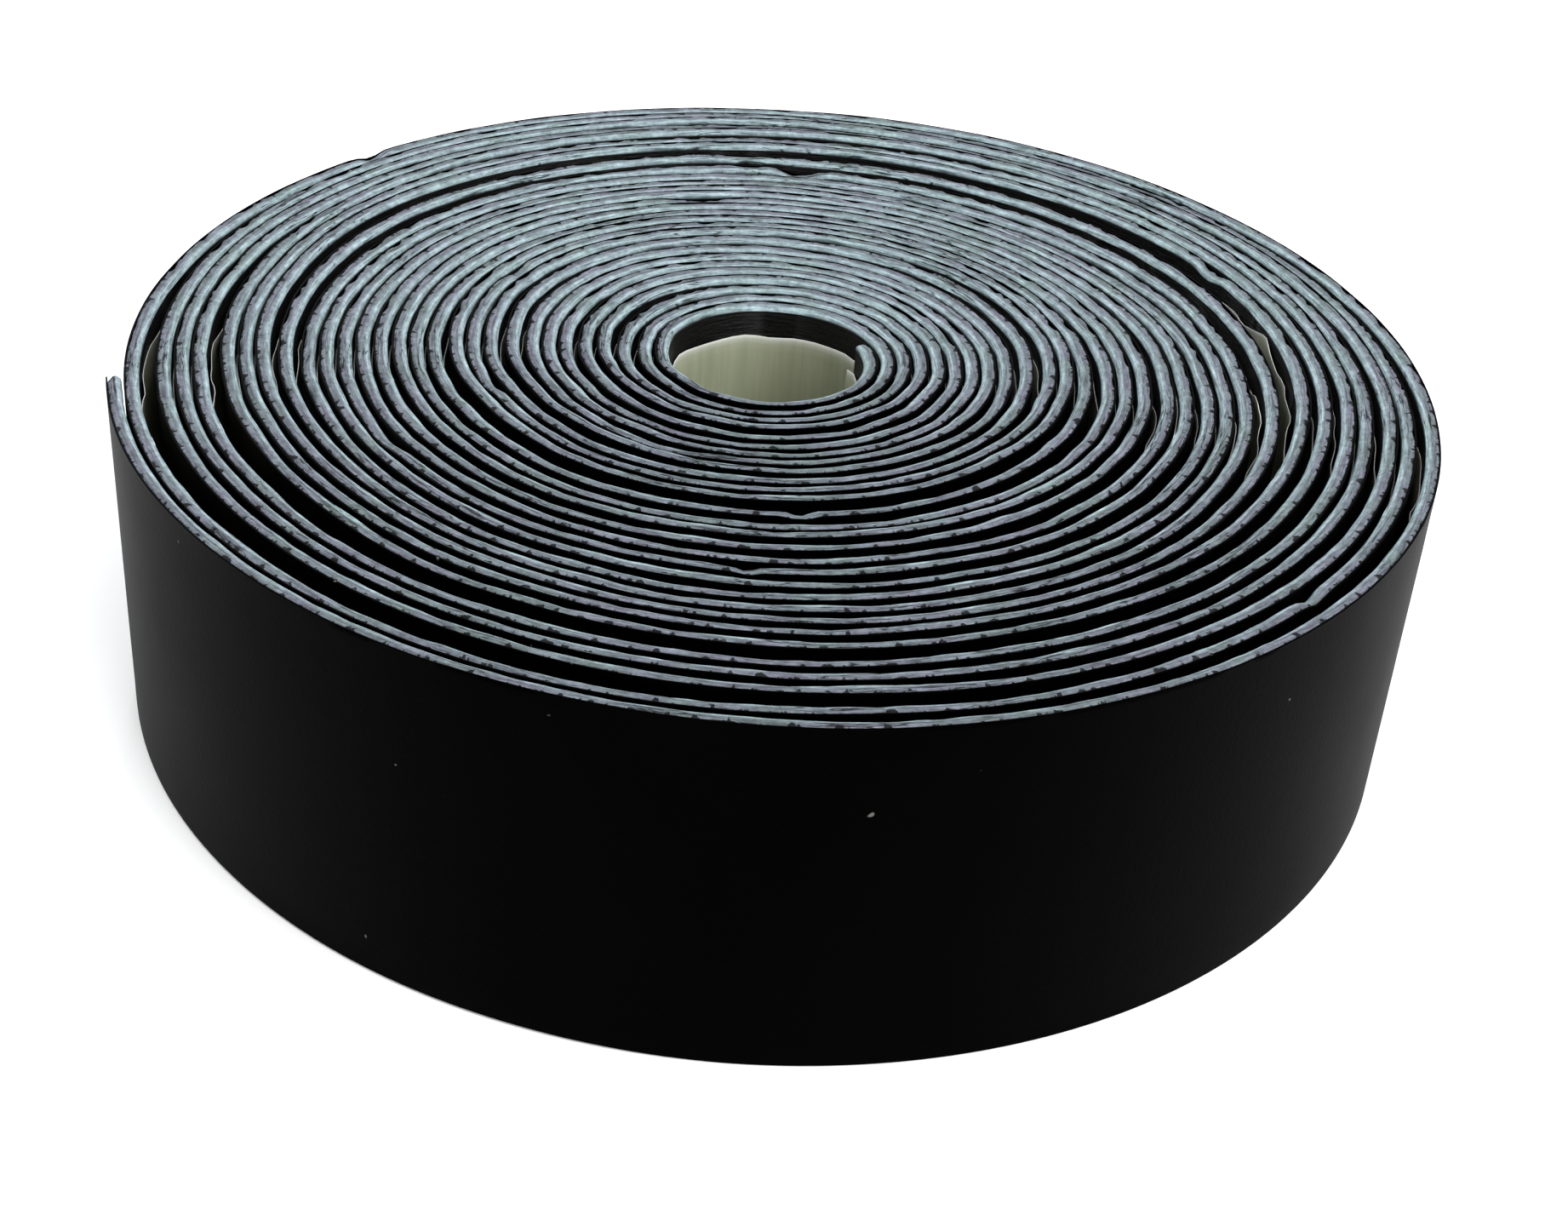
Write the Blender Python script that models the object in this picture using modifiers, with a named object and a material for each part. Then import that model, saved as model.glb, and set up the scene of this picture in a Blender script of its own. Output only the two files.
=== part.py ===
"""Coreless roll of 25 mm grip tape, wound with its release film.

The roll stands on one cut edge. One spiral sets the place of every layer: a soft black facing on the
outside of the strip, the grey foam that carries it, and the release film against the foam's sticky
inner side. The two free ends of the strip are bodies of their own and turn about upright axes: the
outer end peels away from the roll and the inner end folds into the hole.
"""

import math

import bpy
from mathutils import Vector

# Strip
TAPE_WIDTH = 0.025
FACING_THICKNESS = 0.00012
FOAM_THICKNESS = 0.00086
BOND_GAP = 0.00002
FILM_THICKNESS = 0.00004
FILM_WIDTH = 0.022
FILM_GAP = 0.00003
FILM_OVERHANG = 0.0008
FILM_SETBACK = 0.0015
TAPE_THICKNESS = FOAM_THICKNESS + BOND_GAP + FACING_THICKNESS

# Winding: it starts at the inner end and runs outwards, clockwise seen from above
HOLE_RADIUS = 0.00645
HOLE_SHIFT = 0.0013
HOLE_SHIFT_AZIMUTH = 222.0
OUTER_RADIUS = 0.0461
INNER_END_AZIMUTH = 15.0
OUTER_END_AZIMUTH = 195.0
TURNS = 28 + (INNER_END_AZIMUTH - OUTER_END_AZIMUTH) % 360 / 360
STEPS_PER_TURN = 24
LEAST_GAP = 0.0001
EVEN_GAP = 0.03
EVENING = (1, 2, 3, 3, 3, 2, 1)

# Free ends, in steps of the winding, and the gap that parts them from the roll
OUTER_END_STEPS = 4
INNER_END_STEPS = 4
END_GAP = 0.0003

# Loose stretches: turn counted from the inside, azimuth of the middle, half its angle, extra gap in mm
FRONT = 270.0
BACK = 90.0
LOOSE_STRETCHES = (
    (0, FRONT, 70.0, 0.40),
    (1, BACK + 10.0, 90.0, 0.30),
    (1, FRONT - 40.0, 80.0, 0.20),
    (2, BACK + 45.0, 60.0, 0.40),
    (2, FRONT, 70.0, 0.20),
    (3, BACK + 10.0, 70.0, 0.70),
    (3, FRONT - 10.0, 80.0, 0.35),
    (4, BACK + 40.0, 60.0, 0.45),
    (7, BACK, 110.0, 0.65),
    (7, FRONT + 15.0, 70.0, 0.25),
    (8, BACK - 5.0, 110.0, 0.70),
    (8, FRONT - 30.0, 80.0, 0.25),
    (9, FRONT - 20.0, 60.0, 0.15),
    (11, FRONT - 5.0, 95.0, 1.25),
    (12, FRONT + 15.0, 95.0, 0.80),
    (14, FRONT, 100.0, 0.45),
    (15, FRONT + 20.0, 100.0, 0.65),
    (16, FRONT + 10.0, 80.0, 0.50),
    (17, FRONT + 30.0, 90.0, 0.35),
    (17, BACK - 25.0, 55.0, 0.50),
    (18, FRONT, 75.0, 0.40),
    (18, BACK - 10.0, 50.0, 0.70),
    (19, BACK, 110.0, 1.40),
    (19, FRONT + 40.0, 60.0, 0.20),
    (20, BACK - 5.0, 110.0, 1.75),
    (20, FRONT + 15.0, 80.0, 0.40),
    (22, BACK + 5.0, 65.0, 0.80),
    (22, FRONT + 35.0, 90.0, 0.35),
    (23, FRONT - 5.0, 105.0, 1.70),
    (24, BACK + 15.0, 60.0, 0.40),
    (24, FRONT + 10.0, 90.0, 0.20),
    (25, FRONT + 20.0, 95.0, 0.60),
    (26, FRONT - 20.0, 90.0, 1.50),
    (27, FRONT + 25.0, 90.0, 0.60),
)


def turns_at(turn, azimuth):
    """Turns wound when the given turn passes the azimuth."""
    return turn + (INNER_END_AZIMUTH - azimuth) % 360 / 360


def bump(distance, half_length):
    """1 at the middle of a stretch, falling smoothly to 0 at its ends."""
    if abs(distance) >= half_length:
        return 0.0
    return (1 + math.cos(math.pi * distance / half_length)) / 2


def looseness(turns):
    """How much of the roll's spare room falls in the gap outside this place on the strip."""
    room = EVEN_GAP
    for turn, azimuth, half_angle, extra in LOOSE_STRETCHES:
        room += extra * bump(turns - turns_at(turn, azimuth), half_angle / 360)
    return room


def outer_turn_radius(turns):
    """Radius of the strip's inner side along the last turn, which climbs over its own start."""
    climb = TAPE_THICKNESS + LEAST_GAP
    return OUTER_RADIUS - TAPE_THICKNESS - climb * (TURNS - turns)


def evened(radii):
    """Each radius averaged with its neighbours along the strip: the strip bends less, no gap closes."""
    reach = len(EVENING) // 2
    before = [2 * radii[0] - radii[step] for step in range(reach, 0, -1)]
    after = [2 * radii[-1] - radii[-1 - step] for step in range(1, reach + 1)]
    padded = before + radii + after
    windows = [padded[step : step + len(EVENING)] for step in range(len(radii))]
    return [sum(r * share for r, share in zip(row, EVENING)) / sum(EVENING) for row in windows]


def hole_radius(azimuth):
    """The hole lies a little off the roll's middle."""
    return HOLE_RADIUS + HOLE_SHIFT * math.cos(math.radians(azimuth - HOLE_SHIFT_AZIMUTH))


def winding_radii():
    """Radius of the strip's inner side at each step of the winding."""
    steps = round(TURNS * STEPS_PER_TURN)
    pitch = TAPE_THICKNESS + LEAST_GAP
    weights = [looseness(step / STEPS_PER_TURN) for step in range(steps + 1)]
    radii = [0.0] * (steps + 1)
    first_climb = 0.0
    for column in range(STEPS_PER_TURN):
        last = column + (steps - column) // STEPS_PER_TURN * STEPS_PER_TURN
        passes = (last - column) // STEPS_PER_TURN
        shares = sum(weights[column:last:STEPS_PER_TURN])
        # The first turn climbs to where the second one starts, which is known after column 0.
        azimuth = INNER_END_AZIMUTH - 360 * column / STEPS_PER_TURN
        radius = hole_radius(azimuth) + first_climb * column / STEPS_PER_TURN
        spare = outer_turn_radius(last / STEPS_PER_TURN) - radius - passes * pitch
        for step in range(column, last + 1, STEPS_PER_TURN):
            radii[step] = radius
            radius += pitch + spare * weights[step] / shares
        if column == 0:
            first_climb = radii[STEPS_PER_TURN] - radii[0]
    return evened(radii)


def direction(step):
    angle = math.radians(INNER_END_AZIMUTH - 360 * step / STEPS_PER_TURN)
    return Vector((math.cos(angle), math.sin(angle), 0.0))


def bounding_middle(radii):
    """Middle of the roll's outline, so that the roll stands centred on the origin."""
    points = [direction(step) * (radius + TAPE_THICKNESS) for step, radius in enumerate(radii)]
    middle = [(min(p[axis] for p in points) + max(p[axis] for p in points)) / 2 for axis in (0, 1)]
    return Vector((middle[0], middle[1], 0.0))


class Winding:
    """Places along the strip, counted in steps, at a chosen distance outside its inner side."""

    def __init__(self):
        radii = winding_radii()
        middle = bounding_middle(radii)
        self.line = [direction(step) * radius - middle for step, radius in enumerate(radii)]
        self.last = len(radii) - 1
        chords = [(b - a).normalized() for a, b in zip(self.line, self.line[1:])]
        headings = [a + b for a, b in zip(chords[:1] + chords, chords + chords[-1:])]
        self.outwards = [Vector((-h.y, h.x, 0.0)).normalized() for h in headings]

    def corner(self, step, outside):
        return self.line[step] + self.outwards[step] * outside

    def place(self, position, outside):
        """A place on the chord between two steps, or on the end chord carried on."""
        before = min(max(math.floor(position), 0), self.last - 1)
        start = self.corner(before, outside)
        return start + (self.corner(before + 1, outside) - start) * (position - before)

    def path(self, first, last, outside):
        inner_steps = range(math.floor(first) + 1, math.ceil(last))
        return [self.place(position, outside) for position in (first, *inner_steps, last)]

    def steps_for(self, length, position):
        """Steps that a short length of strip takes near a position."""
        return length / (self.place(position + 1, 0.0) - self.place(position, 0.0)).length


def clear_scene():
    for obj in list(bpy.data.objects):
        bpy.data.objects.remove(obj, do_unlink=True)


def make_material(name, color, roughness):
    material = bpy.data.materials.new(name)
    material.use_nodes = True
    shader = material.node_tree.nodes["Principled BSDF"]
    shader.inputs["Base Color"].default_value = (*color, 1.0)
    shader.inputs["Roughness"].default_value = roughness
    shader.inputs["Metallic"].default_value = 0.0
    return material


def make_strip(name, points, width, thickness, material, collection, pivot=None):
    """An upright ribbon through the points, thickened outwards, standing mid-height in the tape."""
    origin = pivot.location if pivot else Vector((0.0, 0.0, TAPE_WIDTH / 2))
    curve = bpy.data.curves.new(name, "CURVE")
    curve.dimensions = "3D"
    curve.extrude = width / 2
    spline = curve.splines.new("POLY")
    spline.points.add(len(points) - 1)
    for spline_point, point in zip(spline.points, points):
        spline_point.co = (point.x - origin.x, point.y - origin.y, 0.0, 1.0)
    strip = bpy.data.objects.new(name, curve)
    curve.materials.append(material)
    collection.objects.link(strip)
    if pivot:
        strip.parent = pivot
    else:
        strip.location = origin
    wall = strip.modifiers.new("Thickness", "SOLIDIFY")
    wall.thickness = thickness
    wall.offset = 1.0
    return strip


def make_pivot(name, place, collection):
    """An empty on a joint's upright axis, at the middle of the tape's width."""
    pivot = bpy.data.objects.new(name, None)
    pivot.empty_display_size = TAPE_WIDTH / 2
    pivot.location = (place.x, place.y, TAPE_WIDTH / 2)
    collection.objects.link(pivot)
    return pivot


def make_layers(winding, prefix, tape_ends, film_ends, materials, collection, pivot=None):
    """The three layers of one stretch of the strip."""
    facing, foam, film = materials
    first, last = tape_ends
    path = winding.path(first, last, 0.0)
    make_strip(prefix + "foam_core", path, TAPE_WIDTH, FOAM_THICKNESS, foam, collection, pivot)
    path = winding.path(first, last, FOAM_THICKNESS + BOND_GAP)
    make_strip(prefix + "grip_facing", path, TAPE_WIDTH, FACING_THICKNESS, facing, collection, pivot)
    path = winding.path(*film_ends, -FILM_GAP - FILM_THICKNESS)
    make_strip(prefix + "release_film", path, FILM_WIDTH, FILM_THICKNESS, film, collection, pivot)


def main():
    clear_scene()
    collection = bpy.data.collections.new("grip_tape_roll")
    bpy.context.scene.collection.children.link(collection)
    materials = (
        make_material("black_polyurethane", (0.010, 0.009, 0.009), 0.45),
        make_material("grey_foam", (0.16, 0.18, 0.18), 0.90),
        make_material("frosted_film", (0.42, 0.45, 0.36), 0.35),
    )
    winding = Winding()

    inner_root = INNER_END_STEPS
    outer_root = winding.last - OUTER_END_STEPS
    roll_first = inner_root + winding.steps_for(END_GAP, inner_root)
    roll_last = outer_root - winding.steps_for(END_GAP, outer_root - 1)
    make_layers(
        winding, "", (roll_first, roll_last), (roll_first, roll_last), materials, collection
    )

    # The peel turns about the outer side of the strip, so that its corners swing clear of the roll.
    outer_axis = winding.place(outer_root, TAPE_THICKNESS)
    film_last = winding.last - winding.steps_for(FILM_SETBACK, winding.last - 1)
    make_layers(
        winding,
        "outer_end_",
        (outer_root, winding.last),
        (outer_root, film_last),
        materials,
        collection,
        make_pivot("outer_end_pivot", outer_axis, collection),
    )

    # The inner end turns about its inner side for the same reason.
    inner_axis = winding.place(inner_root, -FILM_GAP - FILM_THICKNESS)
    film_first = -winding.steps_for(FILM_OVERHANG, 0)
    make_layers(
        winding,
        "inner_end_",
        (0, inner_root),
        (film_first, inner_root),
        materials,
        collection,
        make_pivot("inner_end_pivot", inner_axis, collection),
    )


main()
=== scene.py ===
"""Looks of a coreless roll of 25 mm grip tape, wound with its release film.

Each layer of the tape is one long strip, cut to length and then wound along the same spiral as the frame's
solids: a black facing, the grey foam with its rough cut edges, and a thin film against the sticky inner side.
The two free ends are pieces of their own.
"""

import math

import bpy
import numpy as np
from mathutils import Matrix, Vector

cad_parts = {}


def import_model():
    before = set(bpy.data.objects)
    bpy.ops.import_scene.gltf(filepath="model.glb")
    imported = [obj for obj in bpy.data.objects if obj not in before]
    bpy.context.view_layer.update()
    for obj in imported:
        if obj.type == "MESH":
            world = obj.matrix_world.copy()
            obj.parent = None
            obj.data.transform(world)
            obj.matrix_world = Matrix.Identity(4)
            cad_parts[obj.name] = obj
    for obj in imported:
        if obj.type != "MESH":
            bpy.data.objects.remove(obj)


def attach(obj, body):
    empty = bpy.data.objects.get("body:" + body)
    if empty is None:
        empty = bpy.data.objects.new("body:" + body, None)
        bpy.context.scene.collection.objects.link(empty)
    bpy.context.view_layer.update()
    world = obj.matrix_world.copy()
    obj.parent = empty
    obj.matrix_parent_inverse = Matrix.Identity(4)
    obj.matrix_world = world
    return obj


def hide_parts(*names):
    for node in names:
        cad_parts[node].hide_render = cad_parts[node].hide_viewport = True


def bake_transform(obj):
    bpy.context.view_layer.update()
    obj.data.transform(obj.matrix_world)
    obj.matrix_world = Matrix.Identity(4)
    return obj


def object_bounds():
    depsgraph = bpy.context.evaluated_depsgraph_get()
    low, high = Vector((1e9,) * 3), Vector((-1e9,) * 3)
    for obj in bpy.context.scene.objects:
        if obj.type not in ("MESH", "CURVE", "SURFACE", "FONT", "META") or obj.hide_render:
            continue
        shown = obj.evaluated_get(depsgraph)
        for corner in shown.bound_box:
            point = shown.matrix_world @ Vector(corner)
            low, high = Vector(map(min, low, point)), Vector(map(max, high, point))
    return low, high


MM = 0.001

# Strip, in metres
TAPE_WIDTH = 0.025
FACING_THICKNESS = 0.00012
FOAM_THICKNESS = 0.00086
BOND_GAP = 0.00002
FILM_THICKNESS = 0.00004
FILM_WIDTH = 0.022
FILM_GAP = 0.00003
FILM_OVERHANG = 0.0008
FILM_SETBACK = 0.0015
TAPE_THICKNESS = FOAM_THICKNESS + BOND_GAP + FACING_THICKNESS

# Winding: it starts at the inner end and runs outwards, clockwise seen from above
HOLE_RADIUS = 0.00645
HOLE_SHIFT = 0.0013
HOLE_SHIFT_AZIMUTH = 222.0
OUTER_RADIUS = 0.0461
INNER_END_AZIMUTH = 15.0
OUTER_END_AZIMUTH = 195.0
TURNS = 28 + (INNER_END_AZIMUTH - OUTER_END_AZIMUTH) % 360 / 360
STEPS_PER_TURN = 24
LEAST_GAP = 0.0001
EVEN_GAP = 0.03
EVENING = (1, 2, 3, 3, 3, 2, 1)

# Free ends, in steps of the winding, and the lengths of a stretch beyond each root
OUTER_END_STEPS = 4
INNER_END_STEPS = 4
OUTER_BEND = 16 * MM
INNER_BEND = 4 * MM

# Loose stretches: turn counted from the inside, azimuth of the middle, half its angle, extra gap in mm
FRONT = 270.0
BACK = 90.0
LOOSE_STRETCHES = (
    (0, FRONT, 70.0, 0.40),
    (1, BACK + 10.0, 90.0, 0.30),
    (1, FRONT - 40.0, 80.0, 0.20),
    (2, BACK + 45.0, 60.0, 0.40),
    (2, FRONT, 70.0, 0.20),
    (3, BACK + 10.0, 70.0, 0.70),
    (3, FRONT - 10.0, 80.0, 0.35),
    (4, BACK + 40.0, 60.0, 0.45),
    (7, BACK, 110.0, 0.65),
    (7, FRONT + 15.0, 70.0, 0.25),
    (8, BACK - 5.0, 110.0, 0.70),
    (8, FRONT - 30.0, 80.0, 0.25),
    (9, FRONT - 20.0, 60.0, 0.15),
    (11, FRONT - 5.0, 95.0, 1.25),
    (12, FRONT + 15.0, 95.0, 0.80),
    (14, FRONT, 100.0, 0.45),
    (15, FRONT + 20.0, 100.0, 0.65),
    (16, FRONT + 10.0, 80.0, 0.50),
    (17, FRONT + 30.0, 90.0, 0.35),
    (17, BACK - 25.0, 55.0, 0.50),
    (18, FRONT, 75.0, 0.40),
    (18, BACK - 10.0, 50.0, 0.70),
    (19, BACK, 110.0, 1.40),
    (19, FRONT + 40.0, 60.0, 0.20),
    (20, BACK - 5.0, 110.0, 1.75),
    (20, FRONT + 15.0, 80.0, 0.40),
    (22, BACK + 5.0, 65.0, 0.80),
    (22, FRONT + 35.0, 90.0, 0.35),
    (23, FRONT - 5.0, 105.0, 1.70),
    (24, BACK + 15.0, 60.0, 0.40),
    (24, FRONT + 10.0, 90.0, 0.20),
    (25, FRONT + 20.0, 95.0, 0.60),
    (26, FRONT - 20.0, 90.0, 1.50),
    (27, FRONT + 25.0, 90.0, 0.60),
)

# Small waves that neighbouring turns share, so that no gap closes: height in mm, patches round the roll, depth
# of one patch in mm, and seed
WAVES = (
    (0.10, 26, 4, 5),
    (0.05, 70, 3, 6),
)

# Looks only: share of a turn over which the tip lies a hair closer to the turn inside it, and how much lower
# the film sits in the hole, in mm
TIP_TURNS = 0.12
FILM_LOWERED = 0.85

# Gap that the tip and the slack film always leave
CLEARANCE = 0.13 * MM

# Fineness of the wound strips
LINE_STEPS_PER_TURN = 480
LINE_OVERRUN = 0.05
FOAM_SEGMENT = 0.0005
FACING_SEGMENT = 0.0009
FILM_SEGMENT = 0.0009
WELD = 1e-6
SMOOTH_ANGLE = math.radians(50)

# Camera: it looks down on the near side, a little off level
CAMERA_LENS = 55.7
CAMERA_ELEVATION = math.radians(32.84)
CAMERA_ROLL = math.radians(4.32)
CAMERA_DISTANCE = 4.145
CAMERA_AIM = (0.0257, 0.1016)

# Studio; each light has a place, a size, a power and a colour
FLOOR_COLOR = (0.97, 0.97, 0.97, 1.0)
SKY_COLOR = (1.0, 1.0, 1.0, 1.0)
SKY_STRENGTH = 1.08
LIGHTS = {
    "key_light": ((0.42, -0.40, 0.62), 0.60, 6.5, (1.0, 1.0, 1.0)),
    "back_light": ((-0.25, 0.45, 0.50), 0.50, 2.0, (0.92, 0.97, 1.0)),
}

# Sockets of a Mix node that mixes two colours
MIX_INPUTS = (0, 6, 7)
MIX_OUTPUT = 2


# ---------------------------------------------------------------------------------------------------------
# Winding


def turns_at(turn, azimuth):
    """Turns wound when the given turn passes the azimuth."""
    return turn + (INNER_END_AZIMUTH - azimuth) % 360 / 360


def bump(distance, half_length):
    """1 at the middle of a stretch, falling smoothly to 0 at its ends."""
    return (1 + np.cos(np.pi * np.clip(np.abs(distance) / half_length, 0, 1))) / 2


def looseness(turns):
    """How much of the roll's spare room falls in the gap outside this place on the strip."""
    room = EVEN_GAP
    for turn, azimuth, half_angle, extra in LOOSE_STRETCHES:
        room += extra * bump(turns - turns_at(turn, azimuth), half_angle / 360)
    return room


def outer_turn_radius(turns):
    """Radius of the strip's inner side along the last turn, which climbs over its own start."""
    climb = TAPE_THICKNESS + LEAST_GAP
    return OUTER_RADIUS - TAPE_THICKNESS - climb * (TURNS - turns)


def carried_on(values, count):
    """Values with some more at both ends, on the slope that they end with."""
    steps = np.arange(count, 0, -1)
    before = 2 * values[0] - values[steps]
    after = 2 * values[-1] - values[-1 - steps[::-1]]
    return np.concatenate([before, values, after])


def hole_radius(azimuth):
    """The hole lies a little off the roll's middle."""
    return HOLE_RADIUS + HOLE_SHIFT * math.cos(math.radians(azimuth - HOLE_SHIFT_AZIMUTH))


def winding_radii():
    """Radius of the strip's inner side at each step of the winding, as the frame has it."""
    steps = round(TURNS * STEPS_PER_TURN)
    pitch = TAPE_THICKNESS + LEAST_GAP
    weights = [looseness(step / STEPS_PER_TURN) for step in range(steps + 1)]
    radii = np.zeros(steps + 1)
    first_climb = 0.0
    for column in range(STEPS_PER_TURN):
        last = column + (steps - column) // STEPS_PER_TURN * STEPS_PER_TURN
        passes = (last - column) // STEPS_PER_TURN
        shares = sum(weights[column:last:STEPS_PER_TURN])
        azimuth = INNER_END_AZIMUTH - 360 * column / STEPS_PER_TURN
        radius = hole_radius(azimuth) + first_climb * column / STEPS_PER_TURN
        spare = outer_turn_radius(last / STEPS_PER_TURN) - radius - passes * pitch
        for step in range(column, last + 1, STEPS_PER_TURN):
            radii[step] = radius
            radius += pitch + spare * weights[step] / shares
        if column == 0:
            first_climb = radii[STEPS_PER_TURN] - radii[0]
    reach = len(EVENING) // 2
    shares = np.array(EVENING) / sum(EVENING)
    return np.convolve(carried_on(radii, reach), shares, mode="valid")


def smooth_between(values, positions):
    """A smooth curve through evenly spaced values, read at positions counted in them."""
    before = np.clip(np.floor(positions).astype(int), 1, len(values) - 3)
    part = positions - before
    a, b, c, d = (values[before + offset] for offset in (-1, 0, 1, 2))
    bend = 2 * a - 5 * b + 4 * c - d + part * (3 * (b - c) + d - a)
    return b + part * (c - a + part * bend) / 2


def outline_middle(radii):
    """Middle of the roll's outline, which the frame puts on the origin."""
    angles = np.radians(INNER_END_AZIMUTH - 360 * np.arange(len(radii)) / STEPS_PER_TURN)
    x = np.cos(angles) * (radii + TAPE_THICKNESS)
    y = np.sin(angles) * (radii + TAPE_THICKNESS)
    return np.array([(x.min() + x.max()) / 2, (y.min() + y.max()) / 2])


def drift(along, spacing, seed):
    """Smooth random values from about -1 to 1 that change over the given spacing."""
    count = int(np.max(along) / spacing) + 8
    knots = np.random.default_rng(seed).uniform(-1, 1, count)
    return smooth_between(knots, along / spacing + 3)


def patches(angle, radius, patches_around, patch_depth, seed):
    """Smooth random values over the roll's face: so many patches around it, each so deep from hole to rim."""
    grid = np.random.default_rng(seed).uniform(-1, 1, (patches_around, 64))
    u = angle / (2 * np.pi) % 1 * patches_around
    v = radius / patch_depth
    column, row = np.floor(u).astype(int), np.floor(v).astype(int)
    u, v = u - column, v - row
    u, v = u * u * (3 - 2 * u), v * v * (3 - 2 * v)
    near, far = column % patches_around, (column + 1) % patches_around
    low = grid[near, row] * (1 - u) + grid[far, row] * u
    high = grid[near, row + 1] * (1 - u) + grid[far, row + 1] * u
    return low * (1 - v) + high * v


class Winding:
    """The line of the strip's inner side seen from above, by the length along it from the inner end."""

    def __init__(self):
        radii = winding_radii()
        middle = outline_middle(radii)
        padded = carried_on(radii, 3)
        steps = round((TURNS + LINE_OVERRUN) * LINE_STEPS_PER_TURN)
        self.turns = np.linspace(-LINE_OVERRUN, TURNS, steps + 1)
        self.radii = smooth_between(padded, self.turns * STEPS_PER_TURN + 3)
        angle = np.radians(INNER_END_AZIMUTH) - 2 * np.pi * self.turns
        waves = sum(
            height * MM * patches(angle, self.radii, around, deep * MM, seed)
            for height, around, deep, seed in WAVES
        )
        # The waves die out towards the hole and towards the outer turns.
        settled = np.clip((OUTER_RADIUS - 2.5 * MM - self.radii) / (4 * MM), 0, 1)
        settled *= np.clip((self.radii - HOLE_RADIUS) / (2 * MM), 0, 1)
        self.radii = self.radii + waves * settled
        near_tip = np.clip(1 - (TURNS - self.turns) / TIP_TURNS, 0, 1)
        below = np.interp(self.turns - 1, self.turns, self.radii)
        room = np.clip(self.radii - below - TAPE_THICKNESS - CLEARANCE, 0, None)
        self.radii = self.radii - room * near_tip * near_tip * (3 - 2 * near_tip)
        self.line = np.stack([np.cos(angle), np.sin(angle)], 1) * self.radii[:, None] - middle
        heading = np.gradient(self.line, axis=0)
        heading /= np.linalg.norm(heading, axis=1)[:, None]
        self.outwards = np.stack([-heading[:, 1], heading[:, 0]], 1)
        steps = np.linalg.norm(np.diff(self.line, axis=0), axis=1)
        self.lengths = np.concatenate([[0], np.cumsum(steps)])
        self.lengths -= np.interp(0, self.turns, self.lengths)

    def length_at(self, turns):
        return float(np.interp(turns, self.turns, self.lengths))

    def turns_along(self, lengths):
        return np.interp(lengths, self.lengths, self.turns)

    def places(self, lengths, outside, height):
        """Points at some distances outside the strip's inner side, and at some heights."""
        out = [np.interp(lengths, self.lengths, self.outwards[:, axis])[:, None] for axis in (0, 1)]
        line = [np.interp(lengths, self.lengths, self.line[:, axis])[:, None] for axis in (0, 1)]
        x, y = (line[axis] + out[axis] * outside for axis in (0, 1))
        return np.stack([x, y, height + 0 * outside], 2)

    def length_near(self, azimuth, radius):
        """Length at which the strip passes the azimuth closest to the radius."""
        first = (INNER_END_AZIMUTH - azimuth) % 360 / 360
        turns = first + np.arange(int(TURNS - first) + 1)
        return self.length_at(turns[np.argmin(np.abs(np.interp(turns, self.turns, self.radii) - radius))])

    def room_inside(self, lengths):
        """Width of the gap between this place and the turn inside it; the hole counts as a narrow gap."""
        turns = self.turns_along(lengths)
        here = np.interp(turns, self.turns, self.radii)
        below = np.interp(turns - 1, self.turns, self.radii)
        return np.where(turns < 1, 0.5 * MM, here - below - TAPE_THICKNESS)


# ---------------------------------------------------------------------------------------------------------
# Strips


def rise(lengths):
    """How far the tape's edge stands above or below the roll's flat face."""
    high = 0.10 * drift(lengths, 0.11, 11) + 0.07 * drift(lengths, 0.035, 12)
    return (high + 0.035 * drift(lengths, 0.009, 13)) * MM


def strip_lengths(first, last, segment):
    return np.linspace(first, last, max(2, math.ceil((last - first) / segment)) + 1)


# Rows of the foam's cut edge, which rounds off inwards: share of the foam's thickness from its inner side,
# and drop below the top in mm
CUT_EDGE = (
    (1.00, 0.04),
    (0.86, 0.00),
    (0.62, 0.00),
    (0.38, 0.03),
    (0.18, 0.12),
    (0.03, 0.27),
)

# Nicks in the cut edge: azimuth, share of the roll's radius, half length along the strip and depth in mm
NICKS = (
    (-146, 0.65, 3.0, 0.35),
    (-157, 0.44, 2.0, 0.40),
    (-120, 0.365, 6.0, 0.30),
    (-85, 0.49, 1.2, 0.35),
    (-92, 0.636, 0.9, 0.25),
    (90, 0.67, 2.6, 0.60),
    (107, 0.56, 4.0, 0.35),
    (-40, 0.945, 1.6, 0.45),
    (155, 0.46, 1.8, 0.35),
    (140, 0.95, 1.8, 0.40),
    (-162, 0.90, 1.0, 0.50),
    (30, 0.78, 2.5, 0.35),
    (-15, 0.62, 2.0, 0.35),
)


def nicked(winding, lengths):
    """Depth of the nicks along the strip."""
    depth = 0 * lengths
    for azimuth, share, half_length, deep in NICKS:
        place = winding.length_near(azimuth, share * OUTER_RADIUS)
        depth = np.maximum(depth, deep * MM * bump(lengths - place, half_length * MM))
    return depth


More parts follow.
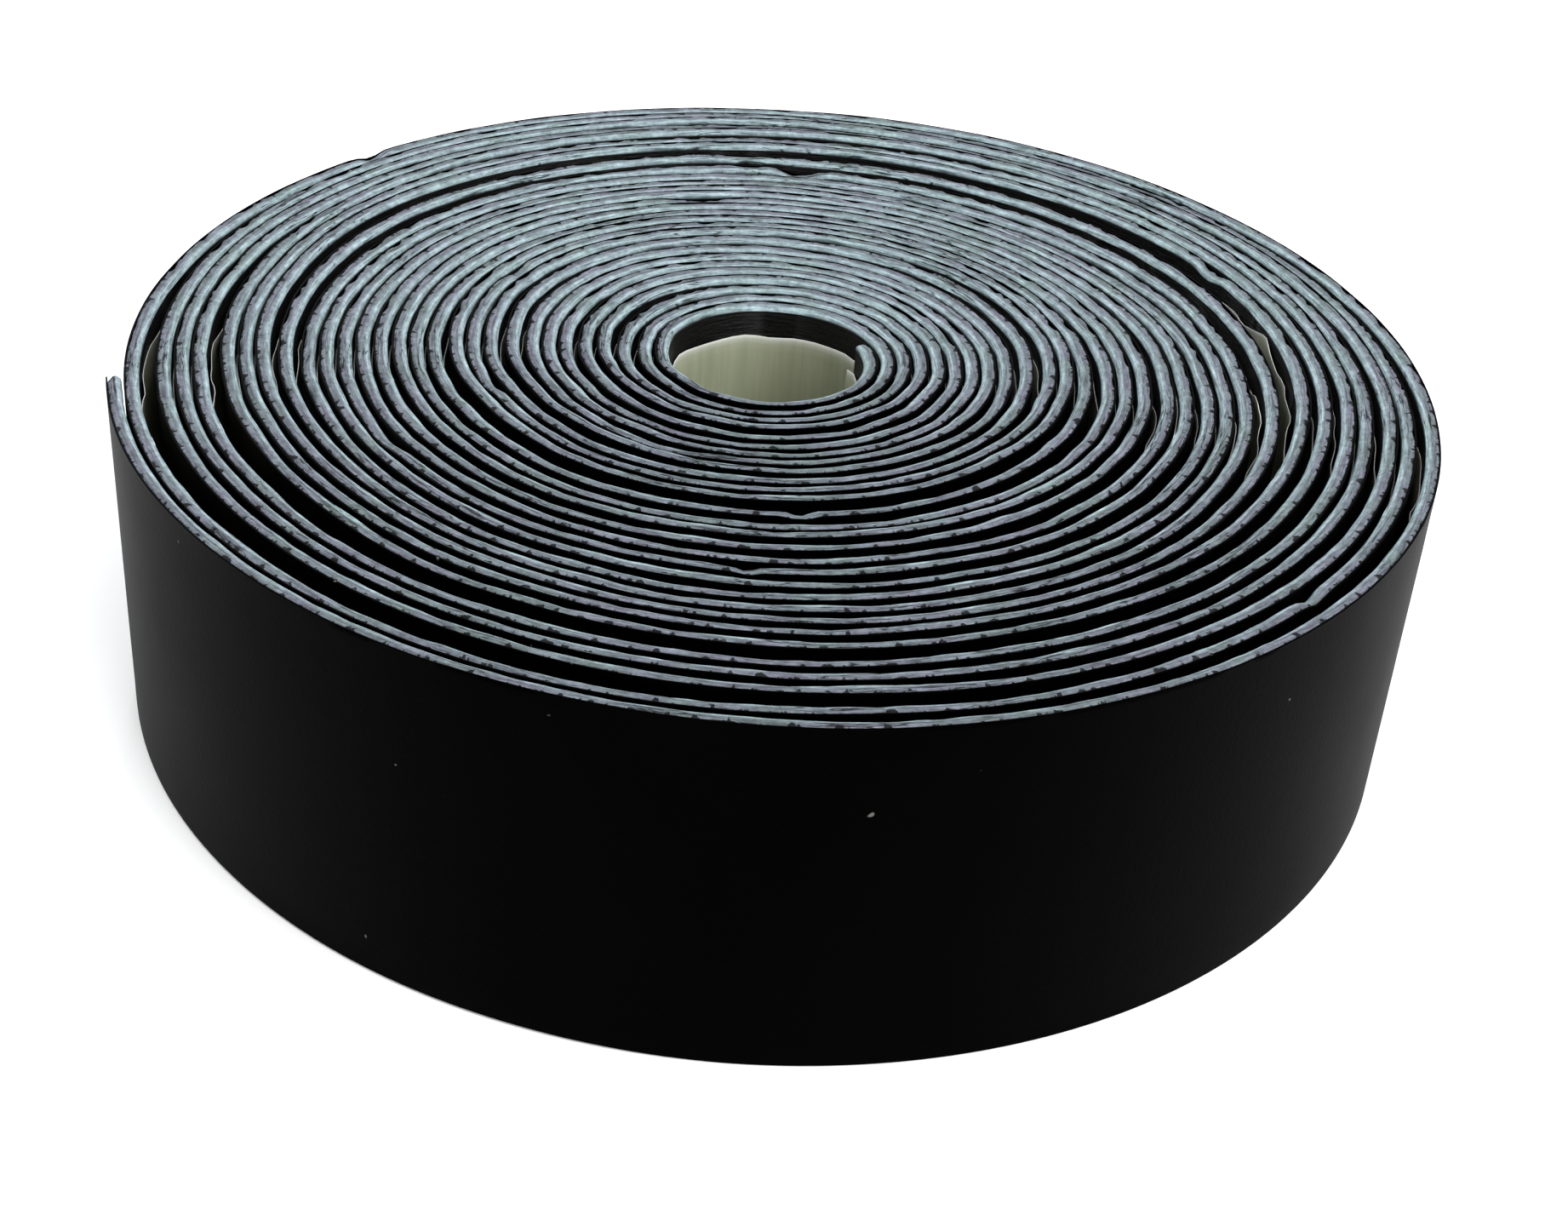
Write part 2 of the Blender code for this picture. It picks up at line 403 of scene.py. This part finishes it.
def foam_section(winding, lengths):
    """Outside distances, heights and cut mask of the foam, point by point round its section."""
    top = TAPE_WIDTH + rise(lengths) - nicked(winding, lengths)
    bottom = np.clip(rise(lengths), 0, None)
    outside, height, cut = [], [], []
    wear = 1 + 0.45 * drift(lengths, 0.007, 21) + 0.25 * drift(lengths, 0.0022, 22)
    torn = np.clip(1.7 * np.abs(drift(lengths, 0.0011, 23)) - 0.7, 0, 1) * np.clip(
        0.7 + 0.6 * drift(lengths, 0.012, 24), 0, 1
    )
    for number, (share, drop) in enumerate(CUT_EDGE):
        ragged = 0.042 * drift(lengths, 0.0012, 30 + number) + 0.022 * drift(lengths, 0.005, 40 + number)
        tooth = 0.40 * torn * max(0, 1 - (1 - share) / 0.3)
        outside.append(FOAM_THICKNESS * share + 0 * lengths)
        height.append(top + (ragged - tooth - drop * wear) * MM)
        cut.append(1.0)
    # The cut look ends just below the top and just above the bottom, so the sticky side stays black.
    for side in (top - 0.42 * MM, bottom + 0.5 * MM):
        outside.append(0 * lengths)
        height.append(side)
        cut.append(0.0)
    for share, drop in CUT_EDGE[::-2]:
        outside.append(FOAM_THICKNESS * (share if share < 0.86 else 1.0) + 0 * lengths)
        height.append(bottom + drop * MM)
        cut.append(1.0)
    return np.stack(outside, 1), np.stack(height, 1), np.array(cut)


# Rows down the facing's outer side, in mm below its top
FACING_ROWS = (0.04, 0.35, 1.1, 2.4, 4.6, 7.6, 11.0, 14.6, 18.0, 21.0, 23.2, 24.5)


def facing_section(winding, lengths):
    """The facing: a thin skin whose top edge follows the foam's, with faint dents down its outer side."""
    top = TAPE_WIDTH + rise(lengths) - 0.8 * nicked(winding, lengths)
    top += 0.02 * MM * drift(lengths, 0.003, 51)
    bottom = np.clip(rise(lengths), 0, None)
    inner = FOAM_THICKNESS + BOND_GAP
    outer = inner + FACING_THICKNESS
    outside = [inner + 0 * lengths, (inner + outer) / 2 + 0 * lengths]
    height = [top - 0.01 * MM, top]
    for number, depth in enumerate(FACING_ROWS):
        dent = 0.018 * drift(lengths, 0.012, 60 + number // 2) + 0.008 * drift(lengths, 0.004, 70 + number)
        outside.append(outer + dent * MM)
        height.append(top - depth * MM)
    outside += [outer + 0 * lengths, inner + 0 * lengths, inner + 0 * lengths]
    height += [bottom + 0.03 * MM, bottom, (top + bottom) / 2]
    cut = np.zeros(len(outside))
    return np.stack(outside, 1), np.stack(height, 1), cut


# Rows of the film below its top edge, in mm
FILM_ROWS = (0.0, 0.25, 0.6, 1.2, 2.2, 4.5, 9.0, 22.0)

# Places where the film stands up in an open gap: azimuth, share of the roll's radius, half length and rise
# in mm
STANDING_FILM = (
    (-163, 0.82, 9.0, 1.20),
    (-160, 0.715, 7.0, 1.15),
    (-150, 0.60, 5.0, 1.00),
    (172, 0.66, 4.0, 0.90),
    (-10, 0.60, 7.0, 1.10),
    (-14, 0.70, 8.0, 1.20),
    (-5, 0.725, 5.0, 1.10),
    (12, 0.80, 5.0, 0.90),
    (-80, 0.74, 1.2, 1.30),
)


def film_section(winding, lengths):
    """The film: it hugs the tape's inner side, wanders where the roll is loose, and puckers at its edge."""
    room = winding.room_inside(lengths)
    slack = np.clip(room - CLEARANCE, 0, 0.6 * MM)
    standing = 0 * lengths
    for azimuth, share, half_length, high in STANDING_FILM:
        place = winding.length_near(azimuth, share * OUTER_RADIUS)
        standing = np.maximum(standing, high * MM * bump(lengths - place, half_length * MM) ** 0.5)
    jagged = 0.5 + 0.5 * np.abs(drift(lengths, 0.0021, 83))
    in_hole = np.clip((winding.length_at(1.02) - lengths) / (3 * MM), 0, 1)
    top = TAPE_WIDTH / 2 + FILM_WIDTH / 2 + rise(lengths) + 0.10 * MM * drift(lengths, 0.004, 81)
    top += standing * jagged + (0.15 * drift(lengths, 0.0016, 82) - FILM_LOWERED) * MM * in_hole
    inner_side, outer_side, heights = [], [], []
    for number, depth in enumerate(FILM_ROWS):
        pucker = math.exp(-depth / 1.5)
        sway = 0.30 + 0.25 * drift(lengths, 0.014, 90 + number // 3)
        fold = pucker * 0.30 * drift(lengths, 0.0017, 100 + number // 3)
        away = FILM_GAP + slack * np.clip(sway + fold, 0, 0.9)
        outer_side.append(-away)
        inner_side.append(-away - FILM_THICKNESS)
        heights.append(top - depth * MM - (standing * jagged if number == len(FILM_ROWS) - 1 else 0))
    outside = outer_side[::-1] + inner_side
    height = heights[::-1] + heights
    # Mask of the film's top edge, where its finish paints a white highlight for the light that the edge
    # catches
    cut = np.exp(-np.array(FILM_ROWS) / 0.25)
    return np.stack(outside, 1), np.stack(height, 1), np.concatenate([cut[::-1], cut])


def wound_strip(name, winding, lengths, section):
    """One layer as a closed strip: a flat grid, rolled round its section, wound, joined and capped."""
    outside, height, cut = section(winding, lengths)
    places = winding.places(lengths, outside, height)
    along, around = outside.shape
    bpy.ops.object.select_all(action="DESELECT")
    bpy.ops.mesh.primitive_grid_add(x_subdivisions=along - 1, y_subdivisions=around, size=2.0)
    piece = bpy.context.object
    piece.name = name
    mesh = piece.data
    mesh.name = name
    flat = np.empty(len(mesh.vertices) * 3, np.float32)
    mesh.vertices.foreach_get("co", flat)
    flat = flat.reshape(-1, 3)
    row = np.rint((flat[:, 0] + 1) / 2 * (along - 1)).astype(int)
    column = np.rint((flat[:, 1] + 1) / 2 * around).astype(int)
    mesh.vertices.foreach_set("co", places[row, column % around].astype(np.float32).ravel())
    edge = mesh.attributes.new("cut_face_and_film_glint", "FLOAT", "POINT")
    edge.data.foreach_set("value", cut[column % around].astype(np.float32))
    middle = len(lengths) // 2
    ring = np.stack([outside[middle], height[middle]], 1)
    sides = np.linalg.norm(np.roll(ring, -1, axis=0) - ring, axis=1)
    girth = np.concatenate([[0], np.cumsum(sides)])
    corner = np.empty(len(mesh.loops), np.int32)
    mesh.loops.foreach_get("vertex_index", corner)
    uv = np.stack([lengths[row[corner]], girth[column[corner]]], 1)
    mesh.uv_layers[0].data.foreach_set("uv", uv.astype(np.float32).ravel())
    mesh.update()
    bpy.ops.object.mode_set(mode="EDIT")
    bpy.ops.mesh.select_all(action="SELECT")
    bpy.ops.mesh.remove_doubles(threshold=WELD)
    bpy.ops.mesh.select_all(action="DESELECT")
    bpy.ops.mesh.select_mode(type="VERT")
    bpy.ops.mesh.select_non_manifold(
        extend=False, use_wire=False, use_multi_face=False, use_non_contiguous=False, use_verts=False
    )
    bpy.ops.mesh.fill_holes(sides=0)
    bpy.ops.mesh.select_all(action="SELECT")
    bpy.ops.mesh.normals_make_consistent(inside=False)
    bpy.ops.object.mode_set(mode="OBJECT")
    bpy.ops.object.shade_smooth_by_angle(angle=SMOOTH_ANGLE)
    return piece


# ---------------------------------------------------------------------------------------------------------
# Finishes


def new_finish(name):
    finish = bpy.data.materials.new(name)
    finish.use_nodes = True
    nodes = finish.node_tree.nodes
    return finish, nodes, finish.node_tree.links, nodes["Principled BSDF"]


def add_node(nodes, kind, **settings):
    node = nodes.new(kind)
    for key, value in settings.items():
        setattr(node, key, value)
    return node


def feed(links, socket, value):
    """Another node's output is linked to the socket; a number or a colour is set on it."""
    if isinstance(value, bpy.types.NodeSocket):
        links.new(value, socket)
    else:
        socket.default_value = value


def noise(nodes, links, vector, scale, detail, roughness):
    node = add_node(nodes, "ShaderNodeTexNoise")
    links.new(vector, node.inputs["Vector"])
    node.inputs["Scale"].default_value = scale
    node.inputs["Detail"].default_value = detail
    node.inputs["Roughness"].default_value = roughness
    return node.outputs["Fac"]


def make_streaks():
    """Shared by the foam and the film: noise drawn out along or across the strip."""
    group = bpy.data.node_groups.new("strip_streaks", "ShaderNodeTree")
    group.interface.new_socket("Strip", in_out="INPUT", socket_type="NodeSocketVector")
    for name in ("Along", "Across", "Roughness"):
        group.interface.new_socket(name, in_out="INPUT", socket_type="NodeSocketFloat")
    group.interface.new_socket("Streaks", in_out="OUTPUT", socket_type="NodeSocketFloat")
    nodes, links = group.nodes, group.links
    given = nodes.new("NodeGroupInput").outputs
    result = nodes.new("NodeGroupOutput").inputs["Streaks"]
    scale = add_node(nodes, "ShaderNodeCombineXYZ")
    links.new(given["Along"], scale.inputs["X"])
    links.new(given["Across"], scale.inputs["Y"])
    drawn = add_node(nodes, "ShaderNodeVectorMath", operation="MULTIPLY")
    links.new(given["Strip"], drawn.inputs[0])
    links.new(scale.outputs["Vector"], drawn.inputs[1])
    grain = add_node(nodes, "ShaderNodeTexNoise")
    grain.inputs["Scale"].default_value = 1.0
    grain.inputs["Detail"].default_value = 3.0
    links.new(drawn.outputs["Vector"], grain.inputs["Vector"])
    links.new(given["Roughness"], grain.inputs["Roughness"])
    links.new(grain.outputs["Fac"], result)
    return group


def streaks(nodes, links, group, strip, along, across, roughness):
    """The shared streaks with a finish's own values: streaks per metre along and across, and roughness."""
    node = add_node(nodes, "ShaderNodeGroup", node_tree=group)
    links.new(strip, node.inputs["Strip"])
    for name, value in (("Along", along), ("Across", across), ("Roughness", roughness)):
        node.inputs[name].default_value = value
    return node.outputs["Streaks"]


def ramp(nodes, links, factor, stops):
    node = add_node(nodes, "ShaderNodeValToRGB")
    links.new(factor, node.inputs["Fac"])
    elements = node.color_ramp.elements
    while len(elements) < len(stops):
        elements.new(0.5)
    for element, (position, color) in zip(elements, stops):
        element.position = position
        element.color = (*color, 1.0)
    return node.outputs["Color"]


def mix(nodes, links, factor, first, second):
    """Goes from the first colour to the second as the factor goes from 0 to 1."""
    node = add_node(nodes, "ShaderNodeMix", data_type="RGBA")
    for number, value in zip(MIX_INPUTS, (factor, first, second)):
        feed(links, node.inputs[number], value)
    return node.outputs[MIX_OUTPUT]


def bumped(nodes, links, height, distance, strength, shader):
    node = add_node(nodes, "ShaderNodeBump")
    links.new(height, node.inputs["Height"])
    node.inputs["Distance"].default_value = distance
    node.inputs["Strength"].default_value = strength
    links.new(node.outputs["Normal"], shader.inputs["Normal"])


def figured(nodes, links, operation, first, second):
    node = add_node(nodes, "ShaderNodeMath", operation=operation)
    feed(links, node.inputs[0], first)
    feed(links, node.inputs[1], second)
    return node.outputs["Value"]


def spread(nodes, links, value, lowest, highest, low, high):
    """A value spread from its own range over low to high, and kept inside it."""
    node = add_node(nodes, "ShaderNodeMapRange")
    links.new(value, node.inputs["Value"])
    for name, number in zip(("From Min", "From Max", "To Min", "To Max"), (lowest, highest, low, high)):
        node.inputs[name].default_value = number
    return node.outputs["Result"]


def scaled(nodes, links, color, factor):
    node = add_node(nodes, "ShaderNodeVectorMath", operation="SCALE")
    links.new(color, node.inputs[0])
    links.new(factor, node.inputs["Scale"])
    return node.outputs["Vector"]


def foam_finish(group):
    """Grey cut foam: slit fibres, a torn outer rim with painted shade in its notches, thin cracks painted as
    dark lines of shade, and a smooth inner rim with a painted highlight; its sticky side is black.
    """
    finish, nodes, links, shader = new_finish("grey_foam")
    strip = add_node(nodes, "ShaderNodeUVMap").outputs["UV"]
    space = add_node(nodes, "ShaderNodeTexCoord").outputs["Object"]
    edge = add_node(nodes, "ShaderNodeAttribute", attribute_name="cut_face_and_film_glint").outputs["Fac"]
    parted = add_node(nodes, "ShaderNodeSeparateXYZ")
    links.new(strip, parted.inputs["Vector"])
    inwards = parted.outputs["Y"]

    fibres = streaks(nodes, links, group, strip, 420.0, 5200.0, 0.7)
    grit = noise(nodes, links, space, 1900.0, 3.0, 0.7)
    tint = noise(nodes, links, space, 300.0, 2.0, 0.5)
    grey = ramp(
        nodes, links, tint,
        ((0.34, (0.116, 0.143, 0.150)), (0.50, (0.124, 0.141, 0.166)), (0.66, (0.132, 0.138, 0.172))),
    )
    light = spread(nodes, links, fibres, 0.32, 0.68, 0.50, 1.62)
    light = figured(nodes, links, "MULTIPLY", light, spread(nodes, links, grit, 0.30, 0.70, 0.70, 1.30))

    # Teeth torn out of the outer rim, where the foam is darkened as painted shade in the notches
    notches = streaks(nodes, links, group, strip, 1150.0, 500.0, 0.6)
    reach = spread(nodes, links, notches, 0.50, 0.72, 0.00001, 0.00050)
    notch_shade = figured(nodes, links, "SUBTRACT", inwards, reach)
    light = figured(nodes, links, "MULTIPLY", light, spread(nodes, links, notch_shade, -0.00003, 0.00005, 0.06, 1.0))

    # Thin cracks along the edge, in some places only, painted as dark lines of shade
    lines = streaks(nodes, links, group, strip, 170.0, 2100.0, 0.4)
    lines = figured(nodes, links, "ABSOLUTE", figured(nodes, links, "SUBTRACT", lines, 0.5), 0.0)
    where = spread(nodes, links, noise(nodes, links, space, 70.0, 2.0, 0.5), 0.50, 0.56, 1.0, 0.0)
    crack_shade = figured(nodes, links, "MAXIMUM", spread(nodes, links, lines, 0.004, 0.022, 0.12, 1.0), where)
    light = figured(nodes, links, "MULTIPLY", light, crack_shade)

    # The pressed inner rim is smoother, and it gets a painted highlight that makes it lighter and tints it
    # cyan
    smooth_rim_and_highlight = spread(nodes, links, inwards, 0.00046, 0.00070, 0.0, 1.0)
    light = figured(nodes, links, "MULTIPLY", light, spread(nodes, links, smooth_rim_and_highlight, 0.0, 1.0, 0.85, 2.0))
    highlight_tint = spread(nodes, links, inwards, 0.0003, 0.0008, 0.0, 0.7)
    grey = mix(nodes, links, highlight_tint, grey, (0.108, 0.152, 0.158, 1.0))
    cut = scaled(nodes, links, grey, light)
    color = mix(nodes, links, edge, (0.0015, 0.0014, 0.0014, 1.0), cut)
    links.new(color, shader.inputs["Base Color"])
    links.new(spread(nodes, links, smooth_rim_and_highlight, 0.0, 1.0, 0.85, 0.45), shader.inputs["Roughness"])
    shader.inputs["Specular IOR Level"].default_value = 0.15
    bumped(nodes, links, fibres, 0.00014, 0.9, shader)
    return finish


def facing_finish():
    """Soft black polyurethane with a very fine grain and a faint sheen at a glancing view."""
    finish, nodes, links, shader = new_finish("black_polyurethane")
    space = add_node(nodes, "ShaderNodeTexCoord").outputs["Object"]
    grain = noise(nodes, links, space, 3600.0, 2.0, 0.5)
    cloud = noise(nodes, links, space, 90.0, 3.0, 0.5)
    dust = noise(nodes, links, space, 1500.0, 0.0, 0.5)
    black = ramp(nodes, links, cloud, ((0.3, (0.0001, 0.0001, 0.0001)), (0.7, (0.0004, 0.0003, 0.0003))))
    specks = spread(nodes, links, dust, 0.90, 0.94, 0.0, 1.0)
    color = mix(nodes, links, specks, black, (0.10, 0.10, 0.095, 1.0))
    links.new(color, shader.inputs["Base Color"])
    links.new(spread(nodes, links, cloud, 0.0, 1.0, 0.40, 0.50), shader.inputs["Roughness"])
    shader.inputs["Specular IOR Level"].default_value = 0.013
    shader.inputs["Specular Tint"].default_value = (0.40, 0.34, 0.30, 1.0)
    bumped(nodes, links, grain, 0.00004, 0.35, shader)
    return finish


def film_finish(group):
    """Frosted film, faintly streaked across its width, with a painted white highlight along its top edge."""
    finish, nodes, links, shader = new_finish("frosted_film")
    strip = add_node(nodes, "ShaderNodeUVMap").outputs["UV"]
    edge = add_node(nodes, "ShaderNodeAttribute", attribute_name="cut_face_and_film_glint").outputs["Fac"]
    creases = streaks(nodes, links, group, strip, 1400.0, 60.0, 0.6)
    body = ramp(nodes, links, creases, ((0.25, (0.235, 0.254, 0.168)), (0.75, (0.31, 0.327, 0.230))))
    # Painted highlight: the film turns near white along its top edge, where the edge catches the light
    color = mix(nodes, links, edge, body, (0.80, 0.81, 0.77, 1.0))
    links.new(color, shader.inputs["Base Color"])
    shader.inputs["Roughness"].default_value = 0.32
    bumped(nodes, links, creases, 0.00010, 0.5, shader)
    return finish


# ---------------------------------------------------------------------------------------------------------
# Roll


def make_roll(winding):
    """The three layers of the wound roll and of its two free ends; only the roll's pieces go on a body."""
    group = make_streaks()
    finishes = {"foam": foam_finish(group), "facing": facing_finish(), "film": film_finish(group)}
    inner_root = winding.length_at(INNER_END_STEPS / STEPS_PER_TURN)
    outer_root = winding.length_at(TURNS - OUTER_END_STEPS / STEPS_PER_TURN)
    tip = winding.length_at(TURNS)
    layers = (
        ("foam", "foam_core", foam_section, FOAM_SEGMENT, 0.0, tip),
        ("facing", "grip_facing", facing_section, FACING_SEGMENT, 0.0, tip),
        ("film", "release_film", film_section, FILM_SEGMENT, -FILM_OVERHANG, tip - FILM_SETBACK),
    )
    for slot, node, section, segment, first, last in layers:
        stretches = (
            ("inner_end", "inner_end_" + node, first, inner_root),
            ("roll", node, inner_root, outer_root),
            ("outer_end", "outer_end_" + node, outer_root, last),
        )
        for body, covered, start, end in stretches:
            lengths = strip_lengths(start, end, segment)
            piece = wound_strip("wound_" + covered, winding, lengths, section)
            piece.data.materials.append(finishes[slot])
            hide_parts(covered)
            if body == "roll":
                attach(piece, "roll")
            else:
                bend(winding, piece, body, inner_root, outer_root)


def bend(winding, piece, body, inner_root, outer_root):
    """A free end keeps its wound shape: its root and a point a short stretch beyond are worked out, and the
    piece's placement is baked into its mesh.
    """
    if body == "outer_end":
        root, beyond = outer_root, outer_root + OUTER_BEND
    else:
        root, beyond = inner_root, inner_root - INNER_BEND
    near, far = winding.places(np.array([root, beyond]), np.zeros((2, 1)), np.full((2, 1), TAPE_WIDTH / 2))
    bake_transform(piece)


# ---------------------------------------------------------------------------------------------------------
# Studio


def place_camera(radius):
    """The camera looks down from in front, aimed a little behind and right of the roll's middle."""
    back = Vector((0.0, -math.cos(CAMERA_ELEVATION), math.sin(CAMERA_ELEVATION)))
    level = Vector((1.0, 0.0, 0.0))
    upright = back.cross(level)
    across = level * math.cos(CAMERA_ROLL) + upright * math.sin(CAMERA_ROLL)
    upwards = back.cross(across)
    aim = Vector((CAMERA_AIM[0] * radius, CAMERA_AIM[1] * radius, 0.0))
    lens = bpy.data.cameras.new("camera")
    lens.lens = CAMERA_LENS
    lens.sensor_width = 36.0
    lens.clip_start = 0.005
    camera = bpy.data.objects.new("camera", lens)
    turned = Matrix((across, upwards, back)).transposed().to_4x4()
    camera.matrix_world = Matrix.Translation(aim + back * CAMERA_DISTANCE * radius) @ turned
    bpy.context.scene.collection.objects.link(camera)
    bpy.context.scene.camera = camera


def add_light(name, place, size, power, color):
    """A soft light that points at the middle of the roll's foot."""
    lamp = bpy.data.lights.new(name, "AREA")
    lamp.size = size
    lamp.energy = power
    lamp.color = color
    light = bpy.data.objects.new(name, lamp)
    light.location = place
    light.rotation_euler = (-Vector(place)).to_track_quat("-Z", "Y").to_euler()
    bpy.context.scene.collection.objects.link(light)


def make_studio():
    """A pale floor under soft white light."""
    bpy.ops.object.select_all(action="DESELECT")
    bpy.ops.mesh.primitive_plane_add(size=6.0, location=(0.0, 0.0, -0.05 * MM))
    floor = bpy.context.object
    floor.name = "floor"
    pale, _, _, shader = new_finish("pale_floor")
    shader.inputs["Base Color"].default_value = FLOOR_COLOR
    shader.inputs["Roughness"].default_value = 0.9
    shader.inputs["Specular IOR Level"].default_value = 0.1
    floor.data.materials.append(pale)
    world = bpy.data.worlds.new("studio")
    world.use_nodes = True
    sky = world.node_tree.nodes["Background"]
    sky.inputs["Color"].default_value = SKY_COLOR
    sky.inputs["Strength"].default_value = SKY_STRENGTH
    bpy.context.scene.world = world
    for name, light in LIGHTS.items():
        add_light(name, *light)
    bpy.context.scene.view_settings.view_transform = "Standard"


def main():
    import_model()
    frame_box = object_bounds()
    place_camera((frame_box[1].x - frame_box[0].x) / 2)
    make_studio()
    make_roll(Winding())


main()
